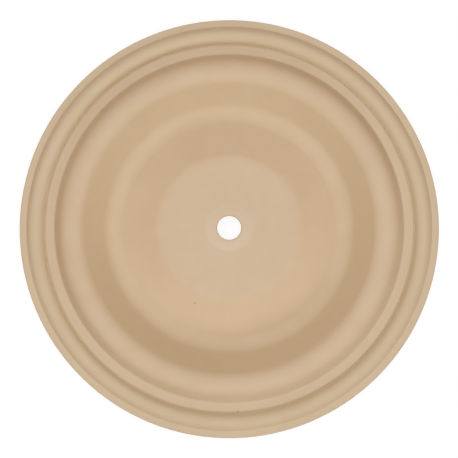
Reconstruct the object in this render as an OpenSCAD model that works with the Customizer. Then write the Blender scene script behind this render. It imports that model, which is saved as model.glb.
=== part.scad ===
// Convoluted diaphragm of an air-operated pump, moulded in one piece.
// The convex side is up, z = 0 is the flat underside of the clamped rim
// and the Z axis is the axis of the bore. Lengths are in millimetres.

/* [Rim] */
// Outside diameter
outer_d = 200; // [170:1:300]
// Width of the clamped rim, from the foot of the wall to the outside
rim_w = 15.9; // [13.2:0.1:24]
// Thickness of the clamped rim
rim_t = 6.65; // [5.2:0.05:8]
// Distance of the sealing bead's crest from the outside
bead_inset = 7.2; // [5.5:0.1:9]
// Radius of the bead's round section
bead_r = 6.2; // [3.5:0.1:8]
// Height of the bead above the rim
bead_h = 1.4; // [0.6:0.05:2.2]
// Depth of the fine groove along the bead's inner foot
groove_depth = 0.5; // [0.1:0.05:0.9]
// Slope of the groove's inner side, in degrees
groove_slope = 36; // [28:1:60]
// Radius of the rim's two outer edges
edge_r = 0.4; // [0.2:0.1:1.8]

/* [Convolution] */
// Thickness of the flexing wall
wall_t = 2.5; // [1.5:0.1:4]
// Height of the crest
crest_h = 10.75; // [9.5:0.05:14]
// Radius of the crest's upper face
crest_r = 12.4; // [8:0.1:15]
// Radius of the brow, where the crest turns down into the outer wall
brow_r = 6; // [4.5:0.1:9]
// Slope at which the crest goes over into the brow, in degrees
brow_slope = 21; // [5:1:30]
// Slope of the wall from the crest down to the rim, in degrees
wall_slope = 43.5; // [37:0.5:50]
// Radius of the fillet where the wall meets the rim
foot_r = 1.8; // [0.5:0.1:3]
// Radius of the edge underneath, where the wall meets the rim
heel_r = 1.5; // [0.5:0.1:3]
// Slope of the wall from the valley up to the crest, in degrees
rise_slope = 30; // [25:0.5:36]
// Clearance of the valley's lower face above the rim's underside
valley_lift = 0.1; // [0:0.1:1.5]
// Radius of the valley's upper face
valley_r = 13.3; // [8:0.1:18]

/* [Centre] */
// Slope of the wall from the clamping disc down to the valley, in degrees
fall_slope = 16; // [13:0.1:24]
// Height of the clamping disc's upper face
disc_h = 7.85; // [6.2:0.05:10]
// Radius of the clamping disc's rounded shoulder
shoulder_r = 17; // [6:0.1:22]
// Diameter of the bore for the shaft
bore_d = 11.5; // [6:0.1:20]
// Radius of the bore's two rounded edges
bore_edge_r = 0.4; // [0.1:0.05:0.8]
// Width of the low boss round the bore
boss_w = 4.75; // [3.5:0.05:10]
// Width of the boss's sloping flank
boss_flank = 2.5; // [0.5:0.1:3.5]
// Height of the boss above the clamping disc
boss_h = 0.3; // [0.1:0.05:1]

/* [Hidden] */

// Largest turn between two points of an arc, in degrees
arc_step = 3;
// Smoothness of the turned surfaces
$fn = 180;

outer_rad = outer_d / 2;
bore_rad = bore_d / 2;
boss_rad = bore_rad + boss_w;
boss_top = disc_h + boss_h;
valley_h = valley_lift + wall_t;

// The bead, the bottom of the groove that its inner side runs down into and its outer foot
bead_c = [outer_rad - bead_inset, rim_t + bead_h - bead_r];
groove_low = on_bead(rim_t - groove_depth, -1);
bead_foot = on_bead(rim_t, 1);

// Centres of the arcs that the upper face follows, from the rim inwards
foot_c = [outer_rad - rim_w, rim_t + foot_r];
brow_z = crest_h - crest_r + (crest_r - brow_r) * cos(brow_slope);
brow_c = [foot_c.x - run(brow_z + brow_r - rim_t, brow_r + foot_r, wall_slope), brow_z];
crest_c = [brow_c.x - (crest_r - brow_r) * sin(brow_slope), crest_h - crest_r];
valley_c = [crest_c.x - run(crest_h - valley_h, crest_r + valley_r, rise_slope), valley_h + valley_r];
shoulder_c = [
    valley_c.x - run(disc_h - valley_h, shoulder_r + valley_r, fall_slope),
    disc_h - shoulder_r
];

// Point at a height on the bead's outer side, or its inner side for -1
function on_bead(height, side) =
    [bead_c.x + side * sqrt(pow(bead_r, 2) - pow(height - bead_c.y, 2)), height];

// Level distance between the tops and bottoms of two arcs joined by a straight
// slope: radii is the sum of their radii and height the drop from one to the other
function run(height, radii, slope) =
    radii * sin(slope) + (height - radii * (1 - cos(slope))) / tan(slope);

// Points along an arc from one angle to another
function arc(c, r, from, to) =
    let (n = max(2, ceil(abs(to - from) / arc_step)))
    [for (i = [0 : n]) let (a = from + (to - from) * i / n) c + r * [cos(a), sin(a)]];

// A run of points without its first one, and two runs that share a point as one
function rest(points) = [for (i = [1 : len(points) - 1]) points[i]];
function joined(first, last) = concat(first, rest(last));

function angle_at(c, point) = atan2(point.y - c.y, point.x - c.x);

function backwards(points) = [for (i = [len(points) - 1 : -1 : 0]) points[i]];

// The wall's face at a depth below its upper face: shoulder, valley, crest and brow
function wall_face(depth) = concat(
    arc(shoulder_c, shoulder_r - depth, 90, 90 - fall_slope),
    joined(
        arc(valley_c, valley_r + depth, 270 - fall_slope, 270),
        arc(valley_c, valley_r + depth, 270, 270 + rise_slope)
    ),
    joined(
        arc(crest_c, crest_r - depth, 90 + rise_slope, 90),
        arc(crest_c, crest_r - depth, 90, 90 - brow_slope)
    ),
    rest(arc(brow_c, brow_r - depth, 90 - brow_slope, 90 - wall_slope))
);

// The bore's upper edge and the low boss round it
function boss_face() = concat(
    arc([bore_rad + bore_edge_r, boss_top - bore_edge_r], bore_edge_r, 180, 90),
    [[boss_rad - boss_flank, boss_top], [boss_rad, disc_h]]
);

// The bore's lower edge
function bore_heel() =
    arc([bore_rad + bore_edge_r, disc_h - wall_t + bore_edge_r], bore_edge_r, 270, 180);

// The rim's upper face: the groove's inner side, then the bead
function bead_face() = concat(
    [[groove_low.x - groove_depth / tan(groove_slope), rim_t]],
    joined(
        arc(bead_c, bead_r, angle_at(bead_c, groove_low), 90),
        arc(bead_c, bead_r, 90, angle_at(bead_c, bead_foot))
    )
);

// The rim's two outer edges, from the top one down
function rim_edge() = concat(
    arc([outer_rad - edge_r, rim_t - edge_r], edge_r, 90, 0),
    arc([outer_rad - edge_r, edge_r], edge_r, 0, -90)
);

// The edge where the wall's lower face runs straight down to the rim's underside
function rim_heel() =
    let (
        end = brow_c + (brow_r - wall_t) * [sin(wall_slope), cos(wall_slope)],
        corner = end.x + end.y / tan(wall_slope)
    )
    arc([corner + heel_r * tan(wall_slope / 2), heel_r], heel_r, 270, 270 - wall_slope);

// Half section of the whole moulding
module half_section() {
    polygon(concat(
        boss_face(),
        wall_face(0),
        arc(foot_c, foot_r, 270 - wall_slope, 270),
        bead_face(),
        rim_edge(),
        rim_heel(),
        backwards(wall_face(wall_t)),
        bore_heel()
    ));
}

module diaphragm() {
    color("burlywood") rotate_extrude() half_section();
}

diaphragm();
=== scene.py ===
# Looks of a pump diaphragm: one turned elastomer moulding, lying convex side up on a white table
import math

import bpy
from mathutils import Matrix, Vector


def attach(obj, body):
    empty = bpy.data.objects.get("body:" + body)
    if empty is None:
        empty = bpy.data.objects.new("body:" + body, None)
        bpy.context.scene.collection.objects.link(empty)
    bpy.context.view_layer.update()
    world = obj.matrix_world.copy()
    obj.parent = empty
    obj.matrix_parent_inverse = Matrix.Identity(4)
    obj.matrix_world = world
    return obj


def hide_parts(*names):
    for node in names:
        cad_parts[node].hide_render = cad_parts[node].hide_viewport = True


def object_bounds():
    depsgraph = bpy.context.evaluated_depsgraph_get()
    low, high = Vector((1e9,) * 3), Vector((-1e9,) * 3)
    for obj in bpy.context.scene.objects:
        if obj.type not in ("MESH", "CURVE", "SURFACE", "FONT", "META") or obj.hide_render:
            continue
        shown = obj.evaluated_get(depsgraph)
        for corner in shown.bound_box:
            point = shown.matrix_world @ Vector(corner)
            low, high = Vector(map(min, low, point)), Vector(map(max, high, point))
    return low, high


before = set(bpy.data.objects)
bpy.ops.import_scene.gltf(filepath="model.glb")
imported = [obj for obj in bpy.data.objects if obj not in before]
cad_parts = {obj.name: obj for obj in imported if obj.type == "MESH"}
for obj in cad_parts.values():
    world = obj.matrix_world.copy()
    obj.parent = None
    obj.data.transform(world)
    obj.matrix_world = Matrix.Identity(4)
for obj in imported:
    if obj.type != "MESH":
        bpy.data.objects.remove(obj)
cadLow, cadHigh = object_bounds()
mm = 0.001
print("frame loaded, outside diameter", round((cadHigh.x - cadLow.x) / mm, 2), "mm")


def deselectAll():
    if bpy.context.mode != "OBJECT":
        bpy.ops.object.mode_set(mode="OBJECT")
    bpy.ops.object.select_all(action="DESELECT")


# Half section of the moulding, in millimetres: x is the radius and z the height
section = {
    "outerRadius": cadHigh.x / mm,
    "rimWidth": 15.9,  # foot of the wall to the outside
    "rimThickness": 6.65,
    "rimEdge": 0.4,
    "beadInset": 7.2,  # bead's crest to the outside
    "beadRadius": 6.2,
    "beadHeight": 1.4,
    "grooveDepth": 0.5,
    "grooveSlope": 36,  # degrees
    "wallThickness": 2.5,
    "crestHeight": cadHigh.z / mm,
    "crestRadius": 12.4,
    "browRadius": 6,  # where the crest turns down into the wall
    "browSlope": 21,  # degrees, where the brow begins
    "wallSlope": 43.5,  # degrees, crest to rim
    "footFillet": 1.8,
    "heelRadius": 1.5,
    "riseSlope": 30,  # degrees, valley to crest
    "fallSlope": 16,  # degrees, disc to valley
    "valleyLift": 0.1,
    "valleyRadius": 13.3,
    "discHeight": 7.85,
    "shoulderRadius": 17,
    "boreRadius": 5.75,
    "boreEdge": 0.4,
    "bossWidth": 4.75,
    "bossFlank": 2.5,
    "bossHeight": 0.3,
    "seamWidth": 0.7,  # trimmed mould seam round the outside
    "seamDepth": 0.06,
}

# How finely the section is drawn and turned
fineness = {
    "pointGap": 0.5,  # millimetres between points of an arc
    "fewestSteps": 6,  # in any arc
    "cornerSteps": 4,  # round a softened corner
    "turnSteps": 360,
    "mergeGap": 0.002,  # millimetres
    "smoothBelow": 28,  # degrees between faces that shade as one
}

# How far the mould's softening of a corner reaches along its two sides, in millimetres
cornerReach = {
    "bossTop": 0.9,
    "bossFoot": 0.9,
    "grooveEdge": 0.4,
    "grooveLow": 0.14,
    "beadFoot": 0.22,
}


def arcPoints(centre, radius, start, end):
    length = radius * math.radians(abs(end - start))
    count = max(fineness["fewestSteps"], math.ceil(length / fineness["pointGap"]))
    angles = [math.radians(start + (end - start) * i / count) for i in range(count + 1)]
    return [(centre[0] + radius * math.cos(a), centre[1] + radius * math.sin(a)) for a in angles]


def slopeRun(height, radii, slopeDeg):
    # level distance between two arcs joined by a straight slope
    slope = math.radians(slopeDeg)
    return radii * math.sin(slope) + (height - radii * (1 - math.cos(slope))) / math.tan(slope)


def angleFrom(centre, point):
    return math.degrees(math.atan2(point[1] - centre[1], point[0] - centre[0]))


def sectionOutline(s):
    # centres of the arcs that the upper face follows, from the rim inwards
    rimTop = s["rimThickness"]
    valleyTop = s["valleyLift"] + s["wallThickness"]
    foot = (s["outerRadius"] - s["rimWidth"], rimTop + s["footFillet"])
    turn = math.radians(s["browSlope"])
    inset = s["crestRadius"] - s["browRadius"]
    browZ = s["crestHeight"] - s["crestRadius"] + inset * math.cos(turn)
    drop = slopeRun(browZ + s["browRadius"] - rimTop, s["browRadius"] + s["footFillet"], s["wallSlope"])
    brow = (foot[0] - drop, browZ)
    crest = (brow[0] - inset * math.sin(turn), s["crestHeight"] - s["crestRadius"])
    rise = slopeRun(s["crestHeight"] - valleyTop, s["crestRadius"] + s["valleyRadius"], s["riseSlope"])
    valley = (crest[0] - rise, valleyTop + s["valleyRadius"])
    fall = slopeRun(s["discHeight"] - valleyTop, s["shoulderRadius"] + s["valleyRadius"], s["fallSlope"])
    shoulder = (valley[0] - fall, s["discHeight"] - s["shoulderRadius"])

    def wallFace(depth):
        inner = arcPoints(shoulder, s["shoulderRadius"] - depth, 90, 90 - s["fallSlope"])
        low = arcPoints(valley, s["valleyRadius"] + depth, 270 - s["fallSlope"], 270)
        low += arcPoints(valley, s["valleyRadius"] + depth, 270, 270 + s["riseSlope"])[1:]
        high = arcPoints(crest, s["crestRadius"] - depth, 90 + s["riseSlope"], 90)
        high += arcPoints(crest, s["crestRadius"] - depth, 90, 90 - s["browSlope"])[1:]
        high += arcPoints(brow, s["browRadius"] - depth, 90 - s["browSlope"], 90 - s["wallSlope"])[1:]
        return inner + low + high

    # upper face from the bore out to the bead's outer foot
    bossTop = s["discHeight"] + s["bossHeight"]
    bossFoot = s["boreRadius"] + s["bossWidth"]
    boreX = s["boreRadius"] + s["boreEdge"]
    corners = {"bossTop": (bossFoot - s["bossFlank"], bossTop), "bossFoot": (bossFoot, s["discHeight"])}
    top = arcPoints((boreX, bossTop - s["boreEdge"]), s["boreEdge"], 180, 90)
    top += [corners["bossTop"], corners["bossFoot"]]
    top += wallFace(0)
    top += arcPoints(foot, s["footFillet"], 270 - s["wallSlope"], 270)

    bead = (s["outerRadius"] - s["beadInset"], rimTop + s["beadHeight"] - s["beadRadius"])

    def onBead(height, side):
        return (bead[0] + side * math.sqrt(s["beadRadius"] ** 2 - (height - bead[1]) ** 2), height)

    grooveLow = onBead(rimTop - s["grooveDepth"], -1)
    grooveSide = s["grooveDepth"] / math.tan(math.radians(s["grooveSlope"]))
    beadFoot = onBead(rimTop, 1)
    corners["grooveEdge"] = (grooveLow[0] - grooveSide, rimTop)
    corners["grooveLow"] = grooveLow
    corners["beadFoot"] = beadFoot
    top += [corners["grooveEdge"]]
    top += arcPoints(bead, s["beadRadius"], angleFrom(bead, grooveLow), 90)
    top += arcPoints(bead, s["beadRadius"], 90, angleFrom(bead, beadFoot))[1:]

    # rim's outside, with the mould seam halfway up; the seam's flat top is a third of its width
    sideX = s["outerRadius"] - s["seamDepth"]
    edgeX = sideX - s["rimEdge"]
    edge = arcPoints((edgeX, rimTop - s["rimEdge"]), s["rimEdge"], 90, 0)
    seamHalf = s["seamWidth"] / 2
    edge += [(sideX, rimTop / 2 + seamHalf), (s["outerRadius"], rimTop / 2 + seamHalf / 3)]
    edge += [(s["outerRadius"], rimTop / 2 - seamHalf / 3), (sideX, rimTop / 2 - seamHalf)]
    edge += arcPoints((edgeX, s["rimEdge"]), s["rimEdge"], 0, -90)

    # lower face from the rim back to the bore
    slope = math.radians(s["wallSlope"])
    inside = s["browRadius"] - s["wallThickness"]
    wallEnd = (brow[0] + inside * math.sin(slope), brow[1] + inside * math.cos(slope))
    heelX = wallEnd[0] + wallEnd[1] / math.tan(slope) + s["heelRadius"] * math.tan(slope / 2)
    under = arcPoints((heelX, s["heelRadius"]), s["heelRadius"], 270, 270 - s["wallSlope"])
    under += wallFace(s["wallThickness"])[::-1]
    discUnder = s["discHeight"] - s["wallThickness"]
    under += arcPoints((boreX, discUnder + s["boreEdge"]), s["boreEdge"], 270, 180)
    return top + edge + under, corners


def nearestVertex(piece, point):
    def gap(vertex):
        return math.hypot(vertex.co.x - point[0] * mm, vertex.co.z - point[1] * mm)

    return min(piece.data.vertices, key=gap).index


def softenCorners(piece, corners):
    for name, point in corners.items():
        deselectAll()
        piece.select_set(True)
        bpy.context.view_layer.objects.active = piece
        place = nearestVertex(piece, point)
        bpy.ops.object.mode_set(mode="EDIT")
        bpy.ops.mesh.select_mode(type="VERT")
        bpy.ops.mesh.select_all(action="DESELECT")
        bpy.ops.object.mode_set(mode="OBJECT")
        piece.data.vertices[place].select = True
        bpy.ops.object.mode_set(mode="EDIT")
        bpy.ops.mesh.bevel(
            affect="VERTICES", offset=cornerReach[name] * mm, segments=fineness["cornerSteps"]
        )
        bpy.ops.object.mode_set(mode="OBJECT")


def turnPiece(name, outline, corners):
    deselectAll()
    bpy.ops.mesh.primitive_circle_add(vertices=len(outline), radius=mm, fill_type="NOTHING")
    piece = bpy.context.object
    piece.name = name
    for vertex, point in zip(piece.data.vertices, outline):
        vertex.co = (point[0] * mm, 0, point[1] * mm)
    softenCorners(piece, corners)
    bpy.ops.object.mode_set(mode="EDIT")
    bpy.ops.mesh.select_all(action="SELECT")
    bpy.ops.mesh.spin(steps=fineness["turnSteps"], angle=2 * math.pi, center=(0, 0, 0), axis=(0, 0, 1))
    bpy.ops.mesh.select_all(action="SELECT")
    bpy.ops.mesh.remove_doubles(threshold=fineness["mergeGap"] * mm)
    bpy.ops.mesh.normals_make_consistent(inside=False)
    bpy.ops.object.mode_set(mode="OBJECT")
    bpy.ops.object.shade_smooth_by_angle(angle=math.radians(fineness["smoothBelow"]))
    return piece


outline, corners = sectionOutline(section)
moulding = turnPiece("diaphragm_moulding", outline, corners)
print("moulding turned,", len(outline), "outline points,", len(moulding.data.polygons), "faces")


# Tan thermoplastic elastomer with a satin skin; places, radii and depths are in millimetres
elastomer = {
    "tan": (0.555, 0.419, 0.247),
    "tanDeep": (0.53, 0.394, 0.227),
    "broadBlotches": {"scale": 22, "detail": 3, "share": 0.6},
    "smallBlotches": {"scale": 160, "detail": 4, "share": 0.4},
    "noiseSpan": (0.3, 0.7),  # values of a noise between which the skin changes
    # ring tints fitted to the shading: the flat disc paler and bluer as a painted sheen, the inner slope
    # warmer and the valley and rise darker as painted shade, and the rim greyer
    "tonesAndPaintedShade": [
        {"tint": (1.008, 1.022, 1.048), "inner": 0, "outer": 33, "soft": 4},  # disc
        {"tint": (1.03, 1.01, 0.986), "inner": 33, "outer": 50, "soft": 3},  # inner slope
        {"tint": (0.984, 0.972, 0.938), "inner": 50.5, "outer": 71.5, "soft": 2},  # valley and rise
        {"tint": (0.963, 0.989, 1.002), "inner": 82.5, "outer": 105, "soft": 1.5},  # rim
    ],
    # painted shade on the strip of the rim inside the bead, where the crest and the bead shade it
    "recessShade": {
        "tint": (0.496, 0.365, 0.21),
        "inner": 83.6,
        "outer": 88.4,
        "soft": 0.8,
        "amount": 0.42,
    },
    # painted highlight: a paler ring round the bore, stronger on its near side, which faces the low lamp
    "boreHighlight": {
        "tint": (0.629, 0.528, 0.37),
        "inner": 6.4,
        "outer": 11.2,
        "soft": 1.2,
        "amount": 0.36,
        "fadeReach": 7,
        "farShare": 0.6,
    },
    # specks of dirt: x, y and size of each; core and edge are in sizes
    "speck": {"tint": (0.286, 0.193, 0.098), "amount": 0.62, "core": 0.3, "edge": 1.2},
    "specks": [(-16.3, -35.9, 0.58), (4.2, -87.35, 0.75), (56, 38.9, 0.3), (-9.4, 70.3, 0.3)],
    "upSideEdge": 0.05,  # slope of the face at which the upper side's marks fade out
    "roughness": {"smooth": 0.4, "dull": 0.47, "scale": 60, "detail": 4},
    "shine": 0.8,
    "waviness": {"scale": 28, "detail": 1, "strength": 0.35, "depth": 0.4},
    "turning": {"scale": 1500, "detail": 3, "strength": 0.1, "depth": 0.06},  # marks of the turned mould
    "grain": {"scale": 2600, "detail": 2, "strength": 0.1, "depth": 0.08},
}


def makeElastomer(look):
    material = bpy.data.materials.new("tanElastomer")
    material.use_nodes = True
    nodes = material.node_tree.nodes
    links = material.node_tree.links
    shader = nodes["Principled BSDF"]
    coords = nodes.new("ShaderNodeTexCoord")

    def noise(grade):
        texture = nodes.new("ShaderNodeTexNoise")
        texture.inputs["Scale"].default_value = grade["scale"]
        texture.inputs["Detail"].default_value = grade["detail"]
        links.new(coords.outputs["Object"], texture.inputs["Vector"])
        return texture.outputs["Fac"]

    def combine(operation, first, second):
        step = nodes.new("ShaderNodeMath")
        step.operation = operation
        for socket, value in zip(step.inputs, (first, second)):
            if isinstance(value, (int, float)):
                socket.default_value = value
            else:
                links.new(value, socket)
        return step.outputs[0]

    def ramp(value, low, high, start, end):
        span = nodes.new("ShaderNodeMapRange")
        span.interpolation_type = "SMOOTHSTEP"
        links.new(value, span.inputs["Value"])
        span.inputs["From Min"].default_value = low
        span.inputs["From Max"].default_value = high
        span.inputs["To Min"].default_value = start
        span.inputs["To Max"].default_value = end
        return span.outputs["Result"]

    def tinted(under, tint, amount, blend="MIX"):
        mix = nodes.new("ShaderNodeMix")
        mix.data_type = "RGBA"
        mix.blend_type = blend
        links.new(under, mix.inputs["A"])
        mix.inputs["B"].default_value = (*tint, 1)
        links.new(amount, mix.inputs["Factor"])
        return mix.outputs["Result"]

    # flat place on the part, its distance from the axis and its side
    flat = nodes.new("ShaderNodeVectorMath")
    flat.operation = "MULTIPLY"
    links.new(coords.outputs["Object"], flat.inputs[0])
    flat.inputs[1].default_value = (1, 1, 0)
    reach = nodes.new("ShaderNodeVectorMath")
    reach.operation = "LENGTH"
    links.new(flat.outputs["Vector"], reach.inputs[0])
    radius = reach.outputs["Value"]
    axes = nodes.new("ShaderNodeSeparateXYZ")
    links.new(coords.outputs["Object"], axes.inputs[0])
    facing = nodes.new("ShaderNodeSeparateXYZ")
    links.new(coords.outputs["Normal"], facing.inputs[0])

    def ringShare(ring):
        soft = ring["soft"] * mm
        inner = ring["inner"] * mm
        outer = ring["outer"] * mm
        rising = ramp(radius, inner - soft, inner + soft, 0, 1)
        falling = ramp(radius, outer - soft, outer + soft, 1, 0)
        return combine("MULTIPLY", rising, falling)

    # plain colour, in soft blotches
    plain = nodes.new("ShaderNodeMix")
    plain.data_type = "RGBA"
    plain.inputs["A"].default_value = (*look["tanDeep"], 1)
    plain.inputs["B"].default_value = (*look["tan"], 1)
    broad = combine("MULTIPLY", noise(look["broadBlotches"]), look["broadBlotches"]["share"])
    small = combine("MULTIPLY", noise(look["smallBlotches"]), look["smallBlotches"]["share"])
    blotches = combine("ADD", broad, small)
    links.new(ramp(blotches, *look["noiseSpan"], 0, 1), plain.inputs["Factor"])
    colour = plain.outputs["Result"]

    # ring tints that paint sheen and shade into the colour, and grey the rim
    for ringTintAndShade in look["tonesAndPaintedShade"]:
        colour = tinted(colour, ringTintAndShade["tint"], ringShare(ringTintAndShade), "MULTIPLY")

    # painted shade on the rim's strip inside the bead and dirt specks, on the upper side only, and a
    # painted highlight round the bore
    upSide = ramp(facing.outputs["Z"], -look["upSideEdge"], look["upSideEdge"], 0, 1)
    # painted shade: the rim's strip inside the bead darkened, upper side only
    recessShade = look["recessShade"]
    paintedRecessShade = combine("MULTIPLY", ringShare(recessShade), recessShade["amount"])
    colour = tinted(colour, recessShade["tint"], combine("MULTIPLY", paintedRecessShade, upSide))

    # painted highlight round the bore, fading towards the far side
    boreHighlight = look["boreHighlight"]
    fade = boreHighlight["fadeReach"] * mm
    nearSide = ramp(axes.outputs["Y"], -fade, fade, 1, boreHighlight["farShare"])
    paintedBoreHighlight = combine("MULTIPLY", ringShare(boreHighlight), boreHighlight["amount"])
    colour = tinted(colour, boreHighlight["tint"], combine("MULTIPLY", paintedBoreHighlight, nearSide))

    speck = look["speck"]
    for x, y, size in look["specks"]:
        away = nodes.new("ShaderNodeVectorMath")
        away.operation = "DISTANCE"
        links.new(flat.outputs["Vector"], away.inputs[0])
        away.inputs[1].default_value = (x * mm, y * mm, 0)
        core = speck["core"] * size * mm
        edge = speck["edge"] * size * mm
        spot = ramp(away.outputs["Value"], core, edge, speck["amount"], 0)
        colour = tinted(colour, speck["tint"], combine("MULTIPLY", spot, upSide))
    links.new(colour, shader.inputs["Base Color"])

    # skin: a slow waviness, faint turning marks copied from the mould and fine grain
    turning = nodes.new("ShaderNodeTexNoise")
    turning.noise_dimensions = "1D"
    turning.inputs["Scale"].default_value = look["turning"]["scale"]
    turning.inputs["Detail"].default_value = look["turning"]["detail"]
    links.new(radius, turning.inputs["W"])
    normal = None
    for height, relief in (
        (noise(look["waviness"]), look["waviness"]),
        (turning.outputs["Fac"], look["turning"]),
        (noise(look["grain"]), look["grain"]),
    ):
        bump = nodes.new("ShaderNodeBump")
        bump.inputs["Strength"].default_value = relief["strength"]
        bump.inputs["Distance"].default_value = relief["depth"] * mm
        links.new(height, bump.inputs["Height"])
        if normal is not None:
            links.new(normal, bump.inputs["Normal"])
        normal = bump.outputs["Normal"]
    links.new(normal, shader.inputs["Normal"])

    rough = look["roughness"]
    satin = ramp(noise(rough), *look["noiseSpan"], rough["smooth"], rough["dull"])
    links.new(satin, shader.inputs["Roughness"])
    shader.inputs["Specular IOR Level"].default_value = look["shine"]
    return material


moulding.data.materials.clear()
moulding.data.materials.append(makeElastomer(elastomer))
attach(moulding, "root")
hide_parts("diaphragm")
print("elastomer set")


def seenRays(tree):
    # rays that see the white background: from the camera and from shiny or clear surfaces
    path = tree.nodes.new("ShaderNodeLightPath")
    seen = path.outputs["Is Camera Ray"]
    for kind in ("Is Glossy Ray", "Is Transmission Ray"):
        either = tree.nodes.new("ShaderNodeMath")
        either.operation = "MAXIMUM"
        tree.links.new(seen, either.inputs[0])
        tree.links.new(path.outputs[kind], either.inputs[1])
        seen = either.outputs[0]
    return seen


# White table, bright to the camera and with a soft shadow
table = {
    "size": 8,  # metres
    "gap": 0.02,  # millimetres under the part
    "bounce": 0.8,  # whiteness that lights the part
    "seen": 0.16,  # whiteness that takes the shadow
    "glow": 0.885,
}


def makeTable(look):
    deselectAll()
    height = cadLow.z - look["gap"] * mm
    bpy.ops.mesh.primitive_plane_add(size=look["size"], location=(0, 0, height))
    floor = bpy.context.object
    floor.name = "table_top"
    material = bpy.data.materials.new("tableWhite")
    material.use_nodes = True
    nodes = material.node_tree.nodes
    links = material.node_tree.links
    nodes.clear()
    out = nodes.new("ShaderNodeOutputMaterial")
    plain = nodes.new("ShaderNodeBsdfDiffuse")
    plain.inputs["Color"].default_value = (look["bounce"], look["bounce"], look["bounce"], 1)
    faint = nodes.new("ShaderNodeBsdfDiffuse")
    faint.inputs["Color"].default_value = (look["seen"], look["seen"], look["seen"], 1)
    glow = nodes.new("ShaderNodeEmission")
    glow.inputs["Strength"].default_value = look["glow"]
    bright = nodes.new("ShaderNodeAddShader")
    links.new(faint.outputs[0], bright.inputs[0])
    links.new(glow.outputs[0], bright.inputs[1])
    mix = nodes.new("ShaderNodeMixShader")
    links.new(seenRays(material.node_tree), mix.inputs["Fac"])
    links.new(plain.outputs[0], mix.inputs[1])
    links.new(bright.outputs[0], mix.inputs[2])
    links.new(mix.outputs[0], out.inputs["Surface"])
    floor.data.materials.append(material)


makeTable(table)
print("table laid")


# A broad lamp overhead, a low strip on the near side and a weak warm light all round, in metres
lamps = {
    "overhead": {
        "place": (-0.08, 0.06, 1.5),
        "width": 2.6,
        "depth": 2.6,
        "power": 27.7,
        "tint": (0.97, 1, 0.99),
    },
    "nearSide": {
        "bearing": 20,  # degrees to the right of the near side
        "height": 15.8,  # degrees above the table
        "distance": 2.6,
        "width": 1.4,
        "depth": 0.42,
        "power": 25.8,
        "tint": (0.86, 1, 1.24),
    },
    "sky": {"tint": (1, 0.2, 0.05), "strength": 0.148},
}


def addLamp(name, shape, place, look):
    deselectAll()
    bpy.ops.object.light_add(type="AREA", location=place)
    lamp = bpy.context.object
    lamp.name = name
    lamp.data.shape = shape
    lamp.data.size = look["width"]
    lamp.data.size_y = look["depth"]
    lamp.data.energy = look["power"]
    lamp.data.color = look["tint"]
    lamp.rotation_euler = (-lamp.location).to_track_quat("-Z", "Y").to_euler()
    lamp.visible_camera = False
    return lamp


def lightScene(look):
    addLamp("overhead_lamp", "ELLIPSE", look["overhead"]["place"], look["overhead"])
    low = look["nearSide"]
    turn = math.radians(low["bearing"])
    lift = math.radians(low["height"])
    level = low["distance"] * math.cos(lift)
    place = (level * math.sin(turn), -level * math.cos(turn), low["distance"] * math.sin(lift))
    nearLamp = addLamp("near_side_lamp", "RECTANGLE", place, low)
    nearLamp.visible_glossy = False

    world = bpy.data.worlds.new("paleRoom")
    bpy.context.scene.world = world
    world.use_nodes = True
    nodes = world.node_tree.nodes
    links = world.node_tree.links
    sky = nodes["Background"]
    sky.inputs["Color"].default_value = (*look["sky"]["tint"], 1)
    sky.inputs["Strength"].default_value = look["sky"]["strength"]
    white = nodes.new("ShaderNodeBackground")
    white.inputs["Color"].default_value = (1, 1, 1, 1)
    white.inputs["Strength"].default_value = 1
    mix = nodes.new("ShaderNodeMixShader")
    links.new(seenRays(world.node_tree), mix.inputs["Fac"])
    links.new(sky.outputs[0], mix.inputs[1])
    links.new(white.outputs[0], mix.inputs[2])
    links.new(mix.outputs[0], nodes["World Output"].inputs["Surface"])


lightScene(lamps)
print("lamps placed")


# Almost straight down on the part, with +Y up in the picture
camera = {
    "imageSize": 458,  # pixels
    "outlineSpan": 418.8,  # pixels across the outside
    "aimPixel": (229.2, 228.4),  # where the point aimed at lands, from the left and the top
    "aimHeight": 4,  # millimetres above the table, on the axis
    "distance": 1.6,  # metres from the point aimed at
    "leanNear": 4.8,  # degrees towards the near side
    "leanRight": 0.8,
    "sensor": 36,  # millimetres
    "farLimit": 20,  # metres
}


def placeCamera(look):
    span = cadHigh.x - cadLow.x
    pixel = span / look["outlineSpan"]
    middle = look["imageSize"] / 2
    deselectAll()
    bpy.ops.object.camera_add(location=(0, 0, 0))
    eye = bpy.context.object
    eye.name = "overhead_camera"
    eye.rotation_euler = (math.radians(look["leanNear"]), math.radians(look["leanRight"]), 0)
    back = eye.rotation_euler.to_matrix().col[2]
    eye.location = back * look["distance"]
    eye.location.z += look["aimHeight"] * mm
    eye.data.shift_x = (middle - look["aimPixel"][0]) / look["imageSize"]
    eye.data.shift_y = (look["aimPixel"][1] - middle) / look["imageSize"]
    eye.data.sensor_width = look["sensor"]
    eye.data.lens = look["sensor"] * look["distance"] / (look["imageSize"] * pixel)
    eye.data.clip_end = look["farLimit"]
    bpy.context.scene.camera = eye


placeCamera(camera)
bpy.context.scene.view_settings.view_transform = "Standard"
print("camera placed")
